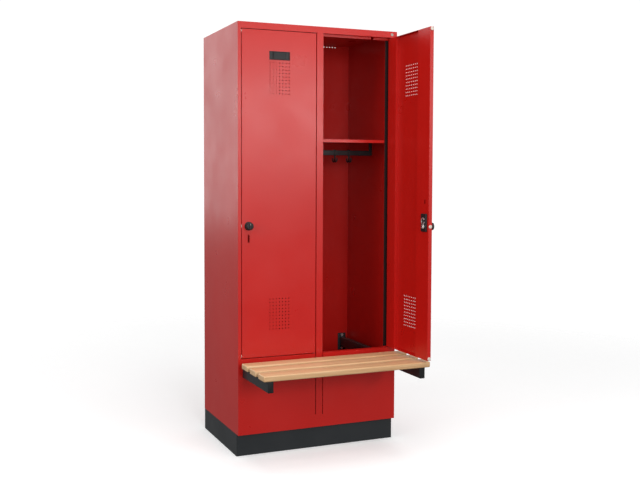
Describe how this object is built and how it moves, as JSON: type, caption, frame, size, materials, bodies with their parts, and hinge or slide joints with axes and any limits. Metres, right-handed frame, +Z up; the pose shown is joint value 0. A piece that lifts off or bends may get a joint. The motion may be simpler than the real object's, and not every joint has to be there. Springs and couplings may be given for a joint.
{
  "type": "school locker",
  "caption": "Steel locker with hinged doors over a closed lower front, a plinth, and a slatted wooden bench on tubes in front.",
  "frame": {"origin": "on the floor, in the middle of the cabinet's width and depth", "axes": "+Z up, -Y out of the doors' side, +X to the right when facing the doors"},
  "size_m": [0.8092, 0.8487, 1.95],
  "materials": {
    "red_paint": "smooth satin powder coat",
    "grey_paint": "dark grey satin powder coat",
    "beech": "clear lacquer over straight grain",
    "rubber": "matt",
    "steel": "zinc plated",
    "black_plastic": "fine texture",
    "grey_plastic": "smooth",
    "cream_plastic": "smooth"
  },
  "bodies": {
    "cabinet": {"plinth_front": "grey_paint", "plinth_rear": "grey_paint", "plinth_left": "grey_paint", "plinth_right": "grey_paint", "plinth_cross": "grey_paint", "left_side_panel": "red_paint", "right_side_panel": "red_paint", "back_panel": "red_paint", "roof_panel": "red_paint", "header_rail": "red_paint", "header_plug": "grey_plastic", "floor_panel": "red_paint", "lower_fascia": "red_paint", "centre_post": "red_paint", "centre_partition": "red_paint", "left_stop_strip": "rubber", "right_stop_strip": "rubber", "left_hat_shelf": "red_paint", "right_hat_shelf": "red_paint", "left_coat_rail": "black_plastic", "right_coat_rail": "black_plastic", "rail_screws": "steel", "left_bench_tube": "grey_paint", "right_bench_tube": "grey_paint", "tube_caps": "black_plastic", "tube_bolts": "steel", "slat_screws": "steel", "front_slat": "beech", "middle_slat": "beech", "rear_slat": "beech", "hinge_pins": "steel"},
    "left_door": {"left_door_skin": "red_paint", "left_hinge_stiffener": "red_paint", "left_lock_stiffener": "red_paint", "left_label_holder": "black_plastic", "left_door_buffers": "cream_plastic", "left_hinge_bushes": "black_plastic", "left_lock_case": "black_plastic", "left_rosette": "black_plastic"},
    "left_knob": {"left_knob": "black_plastic", "left_spindle": "steel", "left_lock_hook": "steel"},
    "left_coat_hook_1": {"left_coat_hook_1": "black_plastic"},
    "left_coat_hook_2": {"left_coat_hook_2": "black_plastic"},
    "left_coat_hook_3": {"left_coat_hook_3": "black_plastic"},
    "right_door": {"right_door_skin": "red_paint", "right_hinge_stiffener": "red_paint", "right_lock_stiffener": "red_paint", "right_label_holder": "black_plastic", "right_door_buffers": "cream_plastic", "right_hinge_bushes": "black_plastic", "right_lock_case": "black_plastic", "right_rosette": "black_plastic"},
    "right_knob": {"right_knob": "black_plastic", "right_spindle": "steel", "right_lock_hook": "steel"},
    "right_coat_hook_1": {"right_coat_hook_1": "black_plastic"},
    "right_coat_hook_2": {"right_coat_hook_2": "black_plastic"},
    "right_coat_hook_3": {"right_coat_hook_3": "black_plastic"}
  },
  "joints": [
    {"name": "left_door_hinge", "type": "hinge", "parent": "cabinet", "child": "left_door", "pos_m": [-0.0274, -0.2417, 1.185], "axis": [0, 0, 1], "range_deg": [0, 105]},
    {"name": "right_door_hinge", "type": "hinge", "parent": "cabinet", "child": "right_door", "pos_m": [0.3736, -0.2417, 1.185], "axis": [0, 0, 1], "range_deg": [-90, 15]},
    {"name": "left_knob_turn", "type": "hinge", "parent": "left_door", "child": "left_knob", "pos_m": [-0.3496, -0.2417, 1.046], "axis": [0, -1, 0], "range_deg": [0, 90]},
    {"name": "right_knob_turn", "type": "hinge", "parent": "right_door", "child": "right_knob", "pos_m": [0.3736, -0.5639, 1.046], "axis": [1, 0, 0], "range_deg": [0, 90]},
    {"name": "left_coat_hook_1_slide", "type": "slide", "parent": "cabinet", "child": "left_coat_hook_1", "axis": [1, 0, 0], "range_m": [-0.05, 0.03]},
    {"name": "left_coat_hook_2_slide", "type": "slide", "parent": "cabinet", "child": "left_coat_hook_2", "axis": [1, 0, 0], "range_m": [-0.03, 0.03]},
    {"name": "left_coat_hook_3_slide", "type": "slide", "parent": "cabinet", "child": "left_coat_hook_3", "axis": [1, 0, 0], "range_m": [-0.03, 0.1]},
    {"name": "right_coat_hook_1_slide", "type": "slide", "parent": "cabinet", "child": "right_coat_hook_1", "axis": [1, 0, 0], "range_m": [-0.05, 0.03]},
    {"name": "right_coat_hook_2_slide", "type": "slide", "parent": "cabinet", "child": "right_coat_hook_2", "axis": [1, 0, 0], "range_m": [-0.03, 0.03]},
    {"name": "right_coat_hook_3_slide", "type": "slide", "parent": "cabinet", "child": "right_coat_hook_3", "axis": [1, 0, 0], "range_m": [-0.03, 0.1]}
  ]
}
